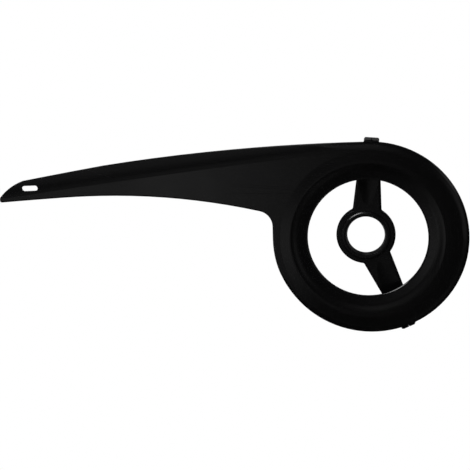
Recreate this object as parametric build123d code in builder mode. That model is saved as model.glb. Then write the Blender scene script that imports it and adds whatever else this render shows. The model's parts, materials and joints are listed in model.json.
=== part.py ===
"""Bicycle chain guard: a moulded guard shell and the bottom-bracket bracket that clips to its rim.

Frame: origin on the axis of the bore, at the back face of the hub. X points to the front of the
bicycle, Z points up and the outboard face looks along -Y. All sizes are in millimetres.
"""
import math
import os

from build123d import *

os.makedirs("parts", exist_ok=True)

# Shared wall, fit and cutting values
wall = 2.4
clip_clearance = 0.15
cut_margin = 12.0

# Depth of the guard's flat face in front of the back of the hub, and heights measured from that face
face_depth = 18.0
dome_height = 1.55
step_drop = 0.9
lip_drop = 1.5
rim_height = 7.0

# Ring of the guard, a little off the axis of the bore
ring_x = 4.92
ring_z = 0.0
ring_radius = 91.95
dome_foot_radius = 85.0
dome_land_radius = 76.2

# Funnel from the dome down to the opening
opening_x = 2.2
opening_z = 0.65
opening_radius = 56.4
crest_radius = 72.5
step_radius = 64.7
funnel_lead = 8.0
funnel_spread = 0.3
lip_land = 1.6
lip_chamfer = 0.5

# Outline of the tail blade
tail_join_angle = 92.6
back_x = -150.4
back_z = 79.2
nose_x = -316.9
nose_z = 50.45
tip_top_x = -346.3
tip_top_z = 31.1
tip_low_x = -345.6
tip_low_z = 27.0
tip_round = 2.0
chin_x = -284.5
chin_z = 33.25
belly_x = -250.2
belly_z = 35.65
belly_slope = 2.6
inner_leave_angle = -178.4
inner_run = 24.35
inner_corner_radius = 15.0
edge_round = 1.5
tail_back_start = -85.0

# Rounded shoulder of the ring, fading out towards the tail and the inner corner
ring_shoulder_radius = 9.5
ring_shoulder_reach = 8.0
ring_shoulder_width = 6.2
ring_shoulder_top_x = -120.0
ring_shoulder_top_z = 94.0
ring_shoulder_low_angle = -140.0
ring_shoulder_low_x = -99.0
ring_shoulder_low_z = 8.0

# Wide soft shoulder along the top of the tail, fading out at both ends
tail_shoulder_radius = 40.0
tail_shoulder_reach = 17.6
tail_shoulder_width = 16.0
tail_shoulder_start_x = -10.0
tail_shoulder_start_z = 101.0
tail_shoulder_middle_x = -180.0
tail_shoulder_middle_z = 75.2
tail_shoulder_end_x = -345.0
tail_shoulder_end_z = 47.0

# Slot at the tip
slot_x = -317.0
slot_z = 41.5
slot_length = 15.0
slot_width = 5.2
slot_tilt = 3.8

# Hub of the bracket
bore_radius = 17.6
bore_length = 2.0
hub_radius = 27.9
hub_thickness = 4.2
collar_mouth_radius = 18.75
collar_top_radius = 19.8
collar_foot_radius = 22.4
collar_height = 2.2

# Arms of the bracket
arm_angles = (88.4, -63.9)
arm_root_radius = 22.0
arm_root_width = 27.5
arm_taper = 0.153
arm_root_round = 2.0
arm_edge_chamfer = 2.0
trough_start = 30.0
trough_end_margin = 22.0
trough_radius = 40.0
trough_depth = 2.0

# Clips at the ends of the arms
clip_angles = (87.65, -63.6)
clip_width = 14.2
clip_corner = 1.5
clip_slit = 0.8
clip_pad = 2.6
clip_pad_overlap = 1.6
clip_finger = 1.8
clip_finger_overlap = 3.2
clip_draft = 0.4
clip_nose = 0.9

# Derived values
crest_depth = face_depth + dome_height
step_depth = face_depth - step_drop
lip_depth = face_depth - lip_drop
rim_back_depth = face_depth - rim_height
clip_pad_depth = rim_back_depth + clip_pad_overlap
clip_finger_depth = rim_back_depth + clip_finger_overlap
collar_depth = hub_thickness + collar_height
back = Vector(back_x, back_z)
nose = Vector(nose_x, nose_z)
tip_top = Vector(tip_top_x, tip_top_z)
tip_low = Vector(tip_low_x, tip_low_z)
chin = Vector(chin_x, chin_z)
belly = Vector(belly_x, belly_z)
ring_shoulder_top_end = Vector(ring_shoulder_top_x, ring_shoulder_top_z)
ring_shoulder_low_end = Vector(ring_shoulder_low_x, ring_shoulder_low_z)
tail_shoulder_start = Vector(tail_shoulder_start_x, tail_shoulder_start_z)
tail_shoulder_middle = Vector(tail_shoulder_middle_x, tail_shoulder_middle_z)
tail_shoulder_end = Vector(tail_shoulder_end_x, tail_shoulder_end_z)
slot_centre = Vector(slot_x, slot_z)
ring_axis = Axis((ring_x, 0, ring_z), (0, 1, 0))
ring_section = Plane((ring_x, 0, ring_z), x_dir=(1, 0, 0), z_dir=(0, 0, 1))
opening_centre = Vector(opening_x, opening_z)
opening_axis = Axis((opening_x, 0, opening_z), (0, 1, 0))
opening_section = Plane((opening_x, 0, opening_z), x_dir=(1, 0, 0), z_dir=(0, 0, 1))
face_plane = Plane.XZ.offset(face_depth)


def on_ring(angle):
    """Point of the ring's outer circle."""
    turn = math.radians(angle)
    return Vector(ring_x + ring_radius * math.cos(turn), ring_z + ring_radius * math.sin(turn))


def round_ring(angle):
    """Clockwise direction of travel at a point of the ring's outer circle."""
    turn = math.radians(angle)
    return Vector(math.sin(turn), -math.cos(turn))


def dome(skin):
    """Solid disc under the dome, its surface lying deeper than the outer one by skin."""
    with BuildPart() as disc:
        with BuildSketch(ring_section):
            with BuildLine():
                Polyline(
                    (0, skin - crest_depth),
                    (dome_land_radius, skin - crest_depth),
                    (dome_foot_radius, skin - face_depth),
                    (dome_foot_radius, skin - face_depth + wall / 2),
                    (0, skin - face_depth + wall / 2),
                    close=True,
                )
            make_face()
        revolve(axis=ring_axis)
    return disc.part


def shoulder(spine, radius, reach, width, skin):
    """Cutter that rounds the front edge along a spine, its surface lying deeper by skin."""
    lean = reach - width
    drop = math.sqrt(radius**2 - lean**2)
    sweep_out = min(radius - skin, reach + cut_margin / 2)
    start = Vector(lean / 2 - reach, drop - math.sqrt((radius - skin) ** 2 - (lean / 2) ** 2))
    end = Vector(sweep_out - reach, drop - math.sqrt((radius - skin) ** 2 - sweep_out**2))
    travel = spine % 0
    outward = Vector(travel.Z, 0, -travel.X)
    with BuildPart() as cutter:
        with BuildSketch(Plane(spine @ 0, x_dir=outward, z_dir=travel)):
            with BuildLine():
                RadiusArc(start, end, skin - radius)
                Polyline(
                    end,
                    (cut_margin, end.Y),
                    (cut_margin, -cut_margin),
                    (start.X, -cut_margin),
                    start,
                )
            make_face()
        sweep(path=spine)
    return cutter.part


def shoulders(skin):
    """The cutters of the ring's shoulder and of the tail's shoulder."""
    ring_turn = tail_join_angle - ring_shoulder_low_angle
    low_start = on_ring(ring_shoulder_low_angle)
    with BuildLine() as ring_path:
        TangentArc(on_ring(tail_join_angle), ring_shoulder_top_end, tangent=-round_ring(tail_join_angle))
        CenterArc((ring_x, ring_z), ring_radius, ring_shoulder_low_angle, ring_turn)
        TangentArc(low_start, ring_shoulder_low_end, tangent=round_ring(ring_shoulder_low_angle))
    with BuildLine() as tail_path:
        ThreePointArc(tail_shoulder_start, tail_shoulder_middle, tail_shoulder_end)
    ring_spine = face_plane.location * ring_path.wire()
    tail_spine = face_plane.location * tail_path.wire()
    return (
        shoulder(ring_spine, ring_shoulder_radius, ring_shoulder_reach, ring_shoulder_width, skin),
        shoulder(tail_spine, tail_shoulder_radius, tail_shoulder_reach, tail_shoulder_width, skin),
    )


def funnel(skin):
    """Space in front of the funnel, its surface lying deeper by skin."""
    lead = math.radians(funnel_lead)
    crest = Vector(crest_radius + funnel_spread * skin, skin - crest_depth)
    step = Vector(step_radius + funnel_spread * skin, skin - step_depth)
    flare = crest + Vector(cut_margin / 4, -cut_margin / 4 * math.tan(lead))
    front = -crest_depth - cut_margin
    with BuildPart() as space:
        with BuildSketch(opening_section):
            with BuildLine():
                TangentArc(crest, (crest + step) / 2, tangent=(-math.cos(lead), math.sin(lead)))
                TangentArc(step, (crest + step) / 2, tangent=(math.cos(lead), -math.sin(lead)))
                Polyline(
                    step,
                    (opening_radius + lip_land, skin - lip_depth),
                    (0, skin - lip_depth),
                    (0, front),
                    (flare.X, front),
                    flare,
                    crest,
                )
            make_face()
        revolve(axis=opening_axis)
    return space.part


# Outline of the guard seen from the front
with BuildSketch(face_plane) as outline:
    with BuildLine():
        join = on_ring(tail_join_angle)
        leave = on_ring(inner_leave_angle)
        corner = leave + round_ring(inner_leave_angle) * inner_run
        belly_turn = math.radians(belly_slope)
        along_belly = Vector(math.cos(belly_turn), math.sin(belly_turn))
        tail_back = TangentArc(join, back, tangent=-round_ring(tail_join_angle))
        tail_neck = TangentArc(back, nose, tangent=tail_back % 1)
        TangentArc(nose, tip_top, tangent=tail_neck % 1)
        Line(tip_top, tip_low)
        jaw = TangentArc(belly, chin, tangent=-along_belly)
        TangentArc(chin, tip_low, tangent=jaw % 1)
        TangentArc(belly, corner, tangent=along_belly)
        Line(corner, leave)
        CenterArc((ring_x, ring_z), ring_radius, inner_leave_angle, tail_join_angle - inner_leave_angle)
    make_face()
    fillet(outline.vertices().sort_by_distance(corner)[0], inner_corner_radius)
    fillet(outline.vertices().sort_by_distance(tip_low)[0], tip_round)
    fillet(outline.vertices().sort_by_distance(tip_top)[0], tip_round)

# Hollow of the guard, open at the back
with BuildSketch(Plane.XZ.offset(face_depth - wall)) as inset:
    add(outline.sketch_local)
    offset(amount=-wall, kind=Kind.ARC, mode=Mode.REPLACE)
with BuildPart() as hollow:
    extrude(inset.sketch, amount=face_depth, dir=(0, 1, 0))
    add(dome(wall))
    for cutter in shoulders(wall):
        add(cutter, mode=Mode.SUBTRACT)
    add(funnel(wall), mode=Mode.SUBTRACT)

# Guard shell
with BuildPart() as guard:
    extrude(outline.sketch, amount=face_depth - rim_back_depth, dir=(0, 1, 0))
    fillet(guard.faces().sort_by(Axis.Y)[0].edges(), edge_round)
    add(dome(0))
    for cutter in shoulders(0):
        add(cutter, mode=Mode.SUBTRACT)
    add(funnel(0), mode=Mode.SUBTRACT)
    add(hollow.part, mode=Mode.SUBTRACT)
    with BuildSketch(Plane.XZ):
        with Locations(opening_centre):
            Circle(opening_radius)
    extrude(amount=face_depth, mode=Mode.SUBTRACT)
    circles = guard.edges().filter_by(GeomType.CIRCLE)
    lip_edges = circles.filter_by(lambda edge: math.isclose(edge.radius, opening_radius))
    chamfer(lip_edges.sort_by(Axis.Y)[0], lip_chamfer)
    with BuildSketch(Plane.XY):
        Polygon(
            (tail_back_start, -rim_back_depth),
            (tip_top.X - cut_margin, wall - face_depth),
            (tip_top.X - cut_margin, 0),
            (tail_back_start, 0),
            align=None,
        )
    extrude(amount=ring_radius, mode=Mode.SUBTRACT)
    with BuildSketch(face_plane):
        with Locations(slot_centre):
            SlotOverall(slot_length, slot_width, rotation=slot_tilt)
    extrude(amount=-face_depth, mode=Mode.SUBTRACT)
guard.part.label = "guard"
export_step(guard.part, "parts/guard.step")


def arm_plane(angle):
    """Plane of the hub's back face with X along an arm."""
    turn = math.radians(angle)
    return Plane((0, 0, 0), x_dir=(math.cos(turn), 0, math.sin(turn)), z_dir=(0, -1, 0))


def rim_distance(angle):
    """Distance from the bore's axis to the outside of the rim along an arm."""
    turn = math.radians(angle)
    along = ring_x * math.cos(turn) + ring_z * math.sin(turn)
    return along + math.sqrt(ring_radius**2 - ring_x**2 - ring_z**2 + along**2)


def arm_half_width(radius):
    """Half of an arm's width at a distance from the bore's axis."""
    return (arm_root_width - arm_taper * (radius - arm_root_radius)) / 2


# Outline of the hub and the arms
with BuildSketch(Plane.XZ) as spider:
    Circle(hub_radius)
    for angle in arm_angles:
        arm_end = rim_distance(angle) - wall - clip_clearance - clip_pad / 2
        axis_half = arm_half_width(0)
        end_half = arm_half_width(arm_end)
        Polygon(
            (0, -axis_half),
            (arm_end, -end_half),
            (arm_end, end_half),
            (0, axis_half),
            rotation=angle,
            align=None,
        )
    fillet(spider.vertices().group_by(SortBy.DISTANCE)[0], arm_root_round)

# Bracket
with BuildPart() as bracket:
    extrude(spider.sketch, amount=hub_thickness, dir=(0, -1, 0))
    chamfer(bracket.faces().sort_by(Axis.Y)[0].edges(), arm_edge_chamfer)

    # Round trough along each arm, which deepens towards the rim
    for angle in arm_angles:
        arm_face = arm_plane(angle).offset(hub_thickness)
        trough_end = rim_distance(angle) - trough_end_margin
        near = arm_face.from_local_coords((trough_start, 0, trough_radius))
        far = arm_face.from_local_coords((trough_end, 0, trough_radius - trough_depth))
        with BuildSketch(Plane(far, z_dir=near - far)):
            Circle(trough_radius)
        extrude(amount=(near - far).length, mode=Mode.SUBTRACT)

    # Clip at the end of each arm, with its outer corners cut off
    for angle in clip_angles:
        rim = rim_distance(angle)
        pad = rim - wall - clip_clearance - clip_pad
        tip = rim + clip_clearance + clip_finger
        clip_section = Plane((0, 0, 0), x_dir=arm_plane(angle).x_dir, z_dir=-arm_plane(angle).y_dir)
        with BuildSketch(clip_section):
            Polygon(
                (pad, 0),
                (pad, clip_pad_depth),
                (rim - wall / 2, clip_pad_depth),
                (rim - wall / 2, clip_finger_depth),
                (tip - clip_nose, clip_finger_depth),
                (tip, clip_finger_depth - clip_nose),
                (tip - clip_draft, 0),
                align=None,
            )
        extrude(amount=clip_width / 2, both=True)
        with BuildSketch(arm_plane(angle)):
            for side in (1, -1):
                Polygon(
                    (tip - 2 * clip_corner, side * (clip_width / 2 + clip_corner)),
                    (tip + clip_corner, side * (clip_width / 2 - 2 * clip_corner)),
                    (tip + clip_corner, side * (clip_width / 2 + clip_corner)),
                    align=None,
                )
        extrude(amount=clip_finger_depth, mode=Mode.SUBTRACT)
        with BuildSketch(clip_section):
            with Locations((rim + clip_finger / 2, clip_finger_depth)):
                Rectangle(2 * clip_finger, 2 * (clip_finger_depth - hub_thickness))
        extrude(amount=clip_slit / 2, both=True, mode=Mode.SUBTRACT)
    with BuildSketch(Plane.XZ.offset(rim_back_depth - clip_clearance)):
        offset(outline.sketch_local, amount=clip_clearance, kind=Kind.ARC)
        offset(outline.sketch_local, amount=-wall - clip_clearance, kind=Kind.ARC, mode=Mode.SUBTRACT)
    extrude(amount=cut_margin, mode=Mode.SUBTRACT)

    # Collar with a flared mouth, and the bore
    with BuildSketch(Plane.XY):
        Polygon(
            (0, -bore_length),
            (0, -collar_depth),
            (collar_top_radius, -collar_depth),
            (collar_foot_radius, -hub_thickness),
            (collar_foot_radius, -bore_length),
            align=None,
        )
    revolve(axis=Axis.Y)
    with BuildSketch(Plane.XY):
        Polygon(
            (0, 0),
            (bore_radius, 0),
            (bore_radius, -bore_length),
            (collar_mouth_radius, -collar_depth),
            (0, -collar_depth),
            align=None,
        )
    revolve(axis=Axis.Y, mode=Mode.SUBTRACT)
bracket.part.label = "bracket"
export_step(bracket.part, "parts/bracket.step")
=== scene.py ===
"""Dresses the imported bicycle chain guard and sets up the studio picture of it.

The frame gives the two moulded pieces, the guard and the bracket that clips to its rim. This script gives
each its finish, fits a thin sleeve over the bracket's collar and adds the studio: a pale sweep, soft lamps, a
dim room and the camera. Lengths are in metres, in the frame's own axes: X to the front of the bicycle, Z up,
the outboard face towards -Y.
"""

import json
import logging
import math
from dataclasses import dataclass
from enum import Enum
from typing import Any, Union

import bpy
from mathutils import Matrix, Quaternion, Vector

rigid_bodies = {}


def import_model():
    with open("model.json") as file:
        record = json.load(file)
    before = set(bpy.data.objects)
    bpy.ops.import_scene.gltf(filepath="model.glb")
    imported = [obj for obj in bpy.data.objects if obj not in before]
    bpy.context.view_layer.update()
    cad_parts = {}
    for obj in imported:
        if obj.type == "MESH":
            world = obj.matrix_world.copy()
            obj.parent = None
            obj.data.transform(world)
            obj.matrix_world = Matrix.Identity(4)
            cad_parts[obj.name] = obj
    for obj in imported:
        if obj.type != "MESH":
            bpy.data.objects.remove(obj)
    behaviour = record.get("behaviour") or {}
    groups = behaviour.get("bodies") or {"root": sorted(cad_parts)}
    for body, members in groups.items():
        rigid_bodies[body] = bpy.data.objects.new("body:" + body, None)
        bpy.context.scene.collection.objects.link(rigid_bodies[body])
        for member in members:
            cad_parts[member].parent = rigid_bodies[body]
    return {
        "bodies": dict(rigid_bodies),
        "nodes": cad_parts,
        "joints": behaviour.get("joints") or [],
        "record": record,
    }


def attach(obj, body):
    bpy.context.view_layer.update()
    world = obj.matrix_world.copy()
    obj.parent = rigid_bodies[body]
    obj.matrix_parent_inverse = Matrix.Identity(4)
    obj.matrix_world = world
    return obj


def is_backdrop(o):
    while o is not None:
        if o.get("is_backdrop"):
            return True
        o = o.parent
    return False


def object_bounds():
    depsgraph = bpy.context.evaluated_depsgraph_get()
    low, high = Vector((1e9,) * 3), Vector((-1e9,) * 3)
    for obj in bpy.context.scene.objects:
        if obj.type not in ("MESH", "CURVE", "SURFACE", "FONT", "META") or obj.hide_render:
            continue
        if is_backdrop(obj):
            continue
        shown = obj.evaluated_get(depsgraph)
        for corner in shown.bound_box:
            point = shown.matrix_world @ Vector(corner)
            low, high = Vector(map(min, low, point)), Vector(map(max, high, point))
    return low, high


log = logging.getLogger("chain_guard")

MM = 0.001
WHITE = (1.0, 1.0, 1.0, 1.0)
NOISE_MIDDLE = 0.5


class Gloss(Enum):
    """How far a moulding is polished."""

    POLISHED = "polished"
    SATIN = "satin"


ROUGHNESS = {Gloss.POLISHED: 0.12, Gloss.SATIN: 0.25}
GRAIN_HEIGHT = {Gloss.POLISHED: 0.0012 * MM, Gloss.SATIN: 0.003 * MM}


class Tone:
    """A number that changes over a surface: a node's output with Python's arithmetic."""

    def __init__(self, bench: "NodeBench", socket: bpy.types.NodeSocket) -> None:
        """Wraps an output socket of the bench's tree."""
        self.bench = bench
        self.socket = socket

    def _math(self, operation: str, first: Any, second: Any = None) -> "Tone":
        """Adds one Math node.

        Args:
            operation: the Math node's operation.
            first: its first input, a Tone or a number.
            second: its second input, if it takes one.

        Returns:
            The node's result.
        """
        inputs = {0: first} if second is None else {0: first, 1: second}
        return self.bench.add("ShaderNodeMath", {"operation": operation}, inputs).tone(0)

    def __add__(self, other: "Number") -> "Tone":
        """Sum with a Tone or a number."""
        return self._math("ADD", self, other)

    __radd__ = __add__

    def __sub__(self, other: "Number") -> "Tone":
        """Difference, self minus other."""
        return self._math("SUBTRACT", self, other)

    def __rsub__(self, other: "Number") -> "Tone":
        """Difference, other minus self."""
        return self._math("SUBTRACT", other, self)

    def __mul__(self, other: "Number") -> "Tone":
        """Product with a Tone or a number."""
        return self._math("MULTIPLY", self, other)

    def __pow__(self, other: "Number") -> "Tone":
        """Power of a Tone that isn't negative."""
        return self._math("POWER", self, other)

    def at_least(self, other: "Number") -> "Tone":
        """The larger of this and other."""
        return self._math("MAXIMUM", self, other)

    def band(self, low: float, high: float) -> "Tone":
        """A smooth step.

        Args:
            low: where the step is 0.
            high: where the step is 1.

        Returns:
            A Tone that rises smoothly from 0 to 1 between the two.
        """
        settings = {"interpolation_type": "SMOOTHSTEP"}
        return self.bench.add("ShaderNodeMapRange", settings, {0: self, 1: low, 2: high}).tone(0)


Number = Union[Tone, float]


class Placed:
    """A node that the bench has added."""

    def __init__(self, bench: "NodeBench", node: bpy.types.Node) -> None:
        """Keeps the node and the bench it stands on."""
        self.bench = bench
        self.node = node

    def tone(self, output: Union[int, str]) -> Tone:
        """One output as a number."""
        return Tone(self.bench, self.node.outputs[output])

    def out(self, output: Union[int, str]) -> bpy.types.NodeSocket:
        """One output as a plain socket, for vectors, colours and shaders."""
        return self.node.outputs[output]


class NodeBench:
    """Adds nodes to one tree."""

    def __init__(self, tree: bpy.types.NodeTree) -> None:
        """Clears the tree."""
        self.tree = tree
        tree.nodes.clear()

    def add(self, kind: str, settings: dict[str, Any], inputs: dict[Any, Any]) -> Placed:
        """Adds one node.

        Args:
            kind: the node's type name.
            settings: its properties, set before the inputs.
            inputs: the values or links of its sockets, by index or name.

        Returns:
            The placed node.
        """
        node = self.tree.nodes.new(kind)
        for name, value in settings.items():
            setattr(node, name, value)
        for key, value in inputs.items():
            if isinstance(value, Tone):
                value = value.socket
            if isinstance(value, bpy.types.NodeSocket):
                self.tree.links.new(value, node.inputs[key])
            else:
                node.inputs[key].default_value = value
        return Placed(self, node)


@dataclass(frozen=True)
class MouldedPlastic:
    """Glossy black moulded plastic, with the skin that the mould and handling leave on it.

    The polish is uneven in broad patches, a faint ripple shows in reflections, hair scratches cross it, and a
    little dust has settled.
    """

    name: str
    gloss: Gloss
    pigment: tuple[float, float, float] = (0.0014, 0.0014, 0.0015)
    refraction: float = 1.5
    patch_size: float = 45.0 * MM
    patch_octaves: float = 3.0
    patch_dulling: float = 0.10
    grain_size: float = 0.45 * MM
    grain_octaves: float = 2.0
    grain_dulling: float = 0.03
    ripple_size: float = 3.5 * MM
    ripple_octaves: float = 1.0
    ripple_height: float = 0.012 * MM
    scratch_turns: tuple[float, float] = (12.0, -38.0)
    scratch_pitch: float = 26.0 * MM
    scratch_stretch: float = 0.06
    scratch_width: float = 0.004
    scratch_octaves: float = 1.0
    scratch_area: tuple[float, float] = (0.5, 0.62)
    scratch_depth: float = 0.004 * MM
    scratch_dulling: float = 0.18
    dust_colour: tuple[float, float, float] = (0.030, 0.029, 0.027)
    dust_pitch: float = 2.4 * MM
    dust_speck: tuple[float, float] = (0.03, 0.07)
    dust_patch: float = 27.0 * MM
    dust_octaves: float = 2.0
    dust_area: tuple[float, float] = (0.52, 0.7)
    dust_cover: float = 0.5
    dust_dulling: float = 0.3

    @property
    def roughness(self) -> float:
        """Roughness of the clean skin."""
        return ROUGHNESS[self.gloss]

    @property
    def grain(self) -> float:
        """Height of the fine grain."""
        return GRAIN_HEIGHT[self.gloss]

    def noise(self, bench: NodeBench, place: bpy.types.NodeSocket, size: float, detail: float) -> Tone:
        """Noise of a given grain.

        Args:
            bench: the material's bench.
            place: the coordinates.
            size: the length of one grain.
            detail: how many finer octaves are added.

        Returns:
            The noise, from 0 to 1.
        """
        inputs = {"Vector": place, "Scale": 1.0 / size, "Detail": detail}
        return bench.add("ShaderNodeTexNoise", {}, inputs).tone("Fac")

    def scratches(self, bench: NodeBench, place: bpy.types.NodeSocket, turn: float) -> Tone:
        """Hair scratches along one direction.

        Args:
            bench: the material's bench.
            place: the coordinates.
            turn: the direction on the face, in degrees.

        Returns:
            A mask, 1 in a scratch.
        """
        rotation = (0.0, math.radians(turn), 0.0)
        stretch = (self.scratch_stretch, 1.0, 1.0)
        turned = bench.add(
            "ShaderNodeMapping", {}, {"Vector": place, "Rotation": rotation, "Scale": stretch}
        ).out(0)
        cells = bench.add(
            "ShaderNodeTexVoronoi",
            {"feature": "DISTANCE_TO_EDGE"},
            {"Vector": turned, "Scale": 1.0 / self.scratch_pitch},
        ).tone("Distance")
        where = self.noise(bench, place, self.patch_size, self.scratch_octaves).band(*self.scratch_area)
        return (1.0 - cells.band(0.0, self.scratch_width)) * where

    def dust(self, bench: NodeBench, place: bpy.types.NodeSocket) -> Tone:
        """Specks of dust.

        Args:
            bench: the material's bench.
            place: the coordinates.

        Returns:
            A mask, 1 on a speck.
        """
        specks = bench.add(
            "ShaderNodeTexVoronoi", {"feature": "F1"}, {"Vector": place, "Scale": 1.0 / self.dust_pitch}
        ).tone("Distance")
        where = self.noise(bench, place, self.dust_patch, self.dust_octaves).band(*self.dust_area)
        return (1.0 - specks.band(*self.dust_speck)) * where

    def make(self) -> bpy.types.Material:
        """Builds the material.

        Returns:
            The finished material.
        """
        material = bpy.data.materials.new(self.name)
        material.use_nodes = True
        bench = NodeBench(material.node_tree)
        place = bench.add("ShaderNodeTexCoord", {}, {}).out("Object")

        patches = self.noise(bench, place, self.patch_size, self.patch_octaves)
        grain = self.noise(bench, place, self.grain_size, self.grain_octaves)
        ripple = self.noise(bench, place, self.ripple_size, self.ripple_octaves)
        first, second = (self.scratches(bench, place, turn) for turn in self.scratch_turns)
        hair = first.at_least(second)
        dust = self.dust(bench, place)

        colour = bench.add(
            "ShaderNodeMix",
            {"data_type": "RGBA"},
            {"Factor": dust * self.dust_cover, "A": (*self.pigment, 1.0), "B": (*self.dust_colour, 1.0)},
        ).out("Result")
        roughness = self.roughness + (patches - NOISE_MIDDLE) * self.patch_dulling
        roughness += (grain - NOISE_MIDDLE) * self.grain_dulling
        roughness += hair * self.scratch_dulling + dust * self.dust_dulling
        height = ripple * self.ripple_height + grain * self.grain - hair * self.scratch_depth
        bump = bench.add("ShaderNodeBump", {}, {"Strength": 1.0, "Distance": 1.0, "Height": height}).out(0)
        shader = bench.add(
            "ShaderNodeBsdfPrincipled",
            {},
            {"Base Color": colour, "Roughness": roughness, "IOR": self.refraction, "Normal": bump},
        ).out(0)
        bench.add("ShaderNodeOutputMaterial", {}, {"Surface": shader})
        return material


@dataclass
class Moulding:
    """One CAD piece of the guard, which keeps its shape and gets its finish here."""

    node: str
    finish: MouldedPlastic

    def dress(self, frame: dict[str, Any]) -> bpy.types.Object:
        """Gives the piece its finish.


        Returns:
            The dressed object.
        """
        piece = frame["nodes"][self.node]
        finish = self.finish.make()
        for slot in piece.material_slots:
            slot.material = finish
        log.info("%s: %s finish, %d faces", self.node, self.finish.gloss.value, len(piece.data.polygons))
        return piece


@dataclass
class CollarSleeve:
    """The thin sleeve over the collar of the bracket's hub: a flat land with a chamfered edge.

    Lengths are in millimetres, and depths are measured from the hub's back. The foot lies under the hub's
    face.
    """

    sides: int = 120
    mouth_radius: float = 18.95
    land_radius: float = 21.85
    land_depth: float = 6.5
    chamfer_radius: float = 23.05
    chamfer_depth: float = 5.49
    foot_radius: float = 23.4
    foot_depth: float = 3.95
    edge_round: float = 0.2
    edge_steps: int = 3
    merge: float = 0.001
    smooth_angle: float = 35.0

    def section(self) -> list[tuple[float, float]]:
        """Lists the corners of the sleeve's section.

        Returns:
            Radius and depth of each corner, from the foot of the mouth outwards.
        """
        return [
            (self.mouth_radius, self.foot_depth),
            (self.mouth_radius, self.land_depth),
            (self.land_radius, self.land_depth),
            (self.chamfer_radius, self.chamfer_depth),
            (self.foot_radius, self.foot_depth),
        ]

    def build(self) -> bpy.types.Object:
        """Models the sleeve as one closed ring and lets it ride on the part.

        Returns:
            The sleeve's object.
        """
        first, *others = self.section()
        radius, depth = first
        bpy.ops.object.select_all(action="DESELECT")
        bpy.ops.mesh.primitive_circle_add(
            vertices=self.sides,
            radius=radius * MM,
            location=(0.0, -depth * MM, 0.0),
            rotation=(math.radians(90), 0.0, 0.0),
        )
        piece = bpy.context.active_object
        piece.name = "collar_sleeve"
        bpy.ops.object.transform_apply(location=True, rotation=True, scale=True)
        bpy.ops.object.mode_set(mode="EDIT")
        bpy.ops.mesh.select_all(action="SELECT")
        for next_radius, next_depth in [*others, first]:
            step = (0.0, (depth - next_depth) * MM, 0.0)
            grow = next_radius / radius
            bpy.ops.mesh.extrude_region_move(TRANSFORM_OT_translate={"value": step})
            bpy.ops.transform.resize(value=(grow, 1.0, grow), center_override=(0.0, 0.0, 0.0))
            radius, depth = next_radius, next_depth
        bpy.ops.mesh.select_all(action="SELECT")
        bpy.ops.mesh.remove_doubles(threshold=self.merge * MM)
        bpy.ops.mesh.normals_make_consistent(inside=False)
        bpy.ops.object.mode_set(mode="OBJECT")
        rounding = piece.modifiers.new("rounding", "BEVEL")
        rounding.width = self.edge_round * MM
        rounding.segments = self.edge_steps
        bpy.ops.object.modifier_apply(modifier=rounding.name)
        bpy.ops.object.shade_smooth_by_angle(angle=math.radians(self.smooth_angle))
        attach(piece, "root")
        return piece

    def dress(self, piece: bpy.types.Object, finish: bpy.types.Material) -> None:
        """Gives the sleeve the bracket's finish.

        Args:
            piece: the object from build.
            finish: the bracket's material.
        """
        piece.data.materials.append(finish)
        log.info("%s: %d faces", piece.name, len(piece.data.polygons))


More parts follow.
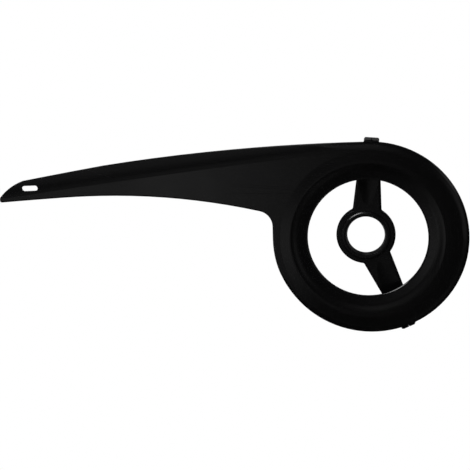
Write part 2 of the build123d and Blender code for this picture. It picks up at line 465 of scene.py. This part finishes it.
@dataclass
class Sweep:
    """The pale studio sweep: a floor that curves up into a wall behind the object."""

    drop: float = 0.40
    half_width: float = 7.0
    front: float = -7.0
    bend_start: float = 3.2
    bend_radius: float = 0.8
    wall_height: float = 1.6
    bend_steps: int = 16
    paint: tuple[float, float, float] = (0.80, 0.80, 0.80)
    mirrored: float = 0.08
    glow_start: float = 0.40
    glow_full: float = 0.62
    merge: float = 1.0 * MM
    smooth_angle: float = 40.0

    def build(self, lowest: float) -> bpy.types.Object:
        """Models the sweep.

        Args:
            lowest: height of the object's lowest point.

        Returns:
            The sweep's object.
        """
        level = lowest - self.drop
        bpy.ops.object.select_all(action="DESELECT")
        middle = (0.0, (self.front + self.bend_start) / 2, level)
        bpy.ops.mesh.primitive_plane_add(size=1.0, location=middle)
        sweep = bpy.context.active_object
        sweep.name = "studio_sweep"
        sweep.scale = (2 * self.half_width, self.bend_start - self.front, 1.0)
        bpy.ops.object.transform_apply(location=True, rotation=True, scale=True)
        bpy.ops.object.mode_set(mode="EDIT")
        bpy.ops.mesh.select_mode(type="EDGE")
        bpy.ops.mesh.select_all(action="DESELECT")
        bpy.ops.object.mode_set(mode="OBJECT")
        for edge in sweep.data.edges:
            ends = [sweep.data.vertices[i].co.y for i in edge.vertices]
            edge.select = min(ends) > self.bend_start - self.merge
        bpy.ops.object.mode_set(mode="EDIT")
        bpy.ops.mesh.spin(
            steps=self.bend_steps,
            angle=math.radians(90),
            center=(0.0, self.bend_start, level + self.bend_radius),
            axis=(1.0, 0.0, 0.0),
        )
        bpy.ops.mesh.extrude_region_move(TRANSFORM_OT_translate={"value": (0.0, 0.0, self.wall_height)})
        bpy.ops.mesh.select_all(action="SELECT")
        bpy.ops.mesh.remove_doubles(threshold=self.merge)
        bpy.ops.object.mode_set(mode="OBJECT")
        bpy.ops.object.shade_smooth_by_angle(angle=math.radians(self.smooth_angle))
        sweep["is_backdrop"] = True
        return sweep

    def dress(self, sweep: bpy.types.Object) -> None:
        """Paints the sweep pale and turns it to plain white away from the object and its shadow.

        The photographed guard hung clear of any floor, so the gloss looks through the paint into the dim
        room, and mirrors a share of the white behind.

        Args:
            sweep: the object from build.
        """
        material = bpy.data.materials.new("sweep_paint")
        material.use_nodes = True
        bench = NodeBench(material.node_tree)
        place = bench.add("ShaderNodeTexCoord", {}, {}).out("Object")
        axes = bench.add("ShaderNodeSeparateXYZ", {}, {0: place})
        across, back = axes.tone("X"), axes.tone("Y")
        away = ((across * across + back * back) ** 0.5).band(self.glow_start, self.glow_full)
        behind = back.band(self.glow_start, self.glow_full)
        path = bench.add("ShaderNodeLightPath", {}, {})
        seen = path.tone("Is Camera Ray")
        mirrored = path.tone("Is Glossy Ray").at_least(path.tone("Is Transmission Ray"))
        painted = bench.add("ShaderNodeBsdfDiffuse", {}, {"Color": (*self.paint, 1.0)}).out(0)
        lit = bench.add("ShaderNodeEmission", {}, {"Color": WHITE, "Strength": 1.0}).out(0)
        clear = bench.add("ShaderNodeBsdfTransparent", {}, {}).out(0)
        paint = bench.add("ShaderNodeMixShader", {}, {0: mirrored, 1: painted, 2: clear}).out(0)
        glow = seen * away + mirrored * behind * self.mirrored
        shader = bench.add("ShaderNodeMixShader", {}, {0: glow, 1: paint, 2: lit}).out(0)
        bench.add("ShaderNodeOutputMaterial", {}, {"Surface": shader})
        sweep.data.materials.append(material)
        log.info("studio_sweep: %d faces", len(sweep.data.polygons))


def direction(azimuth: float, elevation: float) -> Vector:
    """Direction seen from the object.

    Args:
        azimuth: turn from -Y, positive to the right, in degrees.
        elevation: angle above the horizon, in degrees.

    Returns:
        The unit vector.
    """
    turn = math.radians(azimuth)
    rise = math.radians(elevation)
    return Vector((math.sin(turn) * math.cos(rise), -math.cos(turn) * math.cos(rise), math.sin(rise)))


@dataclass(frozen=True)
class Patch:
    """A soft light patch of the dim room, which the gloss reflects."""

    azimuth: float
    elevation: float
    strength: float
    width: float

    def sharpness(self) -> float:
        """Power of the cosine that falls to half at the patch's width."""
        return math.log(0.5) / math.log(math.cos(math.radians(self.width)))


@dataclass
class Room:
    """The dim room round the sweep."""

    ambient: float = 0.02
    patches: tuple[Patch, ...] = (
        Patch(azimuth=-14, elevation=54, strength=0.14, width=15),
        Patch(azimuth=-8, elevation=28, strength=0.10, width=14),
        Patch(azimuth=-34, elevation=15, strength=0.07, width=14),
        Patch(azimuth=-70, elevation=32, strength=0.30, width=16),
        Patch(azimuth=-75, elevation=-5, strength=0.35, width=13),
        Patch(azimuth=-26, elevation=-17, strength=0.22, width=10),
        Patch(azimuth=-14, elevation=-13, strength=0.10, width=4),
        Patch(azimuth=-7, elevation=-14, strength=0.30, width=3.0),
        Patch(azimuth=-7, elevation=-3, strength=0.09, width=5),
        Patch(azimuth=-52, elevation=-30, strength=0.14, width=14),
        Patch(azimuth=54, elevation=3, strength=0.20, width=16),
        Patch(azimuth=80, elevation=26, strength=0.40, width=9),
        Patch(azimuth=42, elevation=-45, strength=0.06, width=16),
        Patch(azimuth=188, elevation=-20, strength=0.40, width=14),
    )

    def build(self) -> None:
        """Sets the world's light."""
        world = bpy.data.worlds.new("room")
        world.use_nodes = True
        bpy.context.scene.world = world
        bench = NodeBench(world.node_tree)
        way = bench.add("ShaderNodeTexCoord", {}, {}).out("Generated")
        light: Number = self.ambient
        for patch in self.patches:
            centre = direction(patch.azimuth, patch.elevation)
            facing = bench.add(
                "ShaderNodeVectorMath", {"operation": "DOT_PRODUCT"}, {0: way, 1: centre}
            ).tone("Value")
            light = facing.at_least(0.0) ** patch.sharpness() * patch.strength + light
        seen = bench.add("ShaderNodeLightPath", {}, {}).tone("Is Camera Ray")
        shader = bench.add(
            "ShaderNodeBackground", {}, {"Color": WHITE, "Strength": light.at_least(seen)}
        ).out(0)
        bench.add("ShaderNodeOutputWorld", {}, {"Surface": shader})
        log.info("room: %d light patches", len(self.patches))


@dataclass(frozen=True)
class Softbox:
    """A soft area lamp that looks at the object.

    It stands in a direction from its target, with angles in degrees.
    """

    name: str
    target: tuple[float, float, float]
    azimuth: float
    elevation: float
    distance: float
    length: float
    width: float
    turn: float
    spread: float
    watts: float
    mirrored: bool = True

    def build(self) -> bpy.types.Object:
        """Places the lamp.

        Returns:
            The lamp's object.
        """
        data = bpy.data.lights.new(self.name, "AREA")
        data.shape = "RECTANGLE"
        data.size = self.length
        data.size_y = self.width
        data.spread = math.radians(self.spread)
        data.energy = self.watts
        lamp = bpy.data.objects.new(self.name, data)
        bpy.context.scene.collection.objects.link(lamp)
        way = direction(self.azimuth, self.elevation)
        lamp.location = Vector(self.target) + way * self.distance
        aim = (-way).to_track_quat("-Z", "Y") @ Quaternion((0.0, 0.0, 1.0), math.radians(self.turn))
        lamp.rotation_euler = aim.to_euler()
        lamp.visible_glossy = self.mirrored
        log.info("%s: %.1f W at %.2f m", self.name, self.watts, self.distance)
        return lamp


HUB_MIDDLE = (0.0, 0.0, 0.0)
PART_MIDDLE = (-100.0 * MM, 0.0, 0.0)
LAMPS = (
    Softbox(
        "key_lamp", HUB_MIDDLE, azimuth=-55, elevation=49, distance=1.3,
        length=0.9, width=0.3, turn=45, spread=55, watts=0.8,
    ),
    Softbox(
        "fill_lamp", PART_MIDDLE, azimuth=-12, elevation=58, distance=1.6,
        length=1.2, width=1.2, turn=0, spread=180, watts=34, mirrored=False,
    ),
    Softbox(
        "top_lamp", PART_MIDDLE, azimuth=-172, elevation=58, distance=1.5,
        length=0.5, width=0.5, turn=0, spread=180, watts=0.5,
    ),
)


@dataclass(frozen=True)
class Viewpoint:
    """The camera of the photograph."""

    target: tuple[float, float, float] = (-123.32 * MM, -9.0 * MM, -1.39 * MM)
    azimuth: float = 5.09
    elevation: float = 15.0
    distance: float = 2.0
    lens_mm: float = 162.19
    sensor_mm: float = 36.0

    def build(self) -> bpy.types.Object:
        """Creates the camera and makes it the scene's.

        Returns:
            The camera's object.
        """
        data = bpy.data.cameras.new("viewpoint")
        data.sensor_width = self.sensor_mm
        data.lens = self.lens_mm
        camera = bpy.data.objects.new("viewpoint", data)
        bpy.context.scene.collection.objects.link(camera)
        camera.location = Vector(self.target) + direction(self.azimuth, self.elevation) * self.distance
        camera.rotation_euler = (math.radians(90.0 - self.elevation), 0.0, math.radians(self.azimuth))
        bpy.context.scene.camera = camera
        log.info("viewpoint: %.0f mm lens", self.lens_mm)
        return camera


def main() -> None:
    """Loads the frame, dresses its pieces and builds the studio round them."""
    logging.basicConfig(level=logging.INFO, format="%(name)s %(message)s")
    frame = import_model()
    cad_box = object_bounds()

    Moulding("guard", MouldedPlastic("guard_black", Gloss.POLISHED)).dress(frame)
    bracket = Moulding("bracket", MouldedPlastic("bracket_black", Gloss.SATIN)).dress(frame)
    sleeve = CollarSleeve()
    sleeve.dress(sleeve.build(), bracket.material_slots[0].material)

    sweep = Sweep()
    sweep.dress(sweep.build(cad_box[0].z))
    Room().build()
    for lamp in LAMPS:
        lamp.build()
    Viewpoint().build()

    bpy.context.scene.view_settings.view_transform = "Standard"


if __name__ == "__main__":
    main()
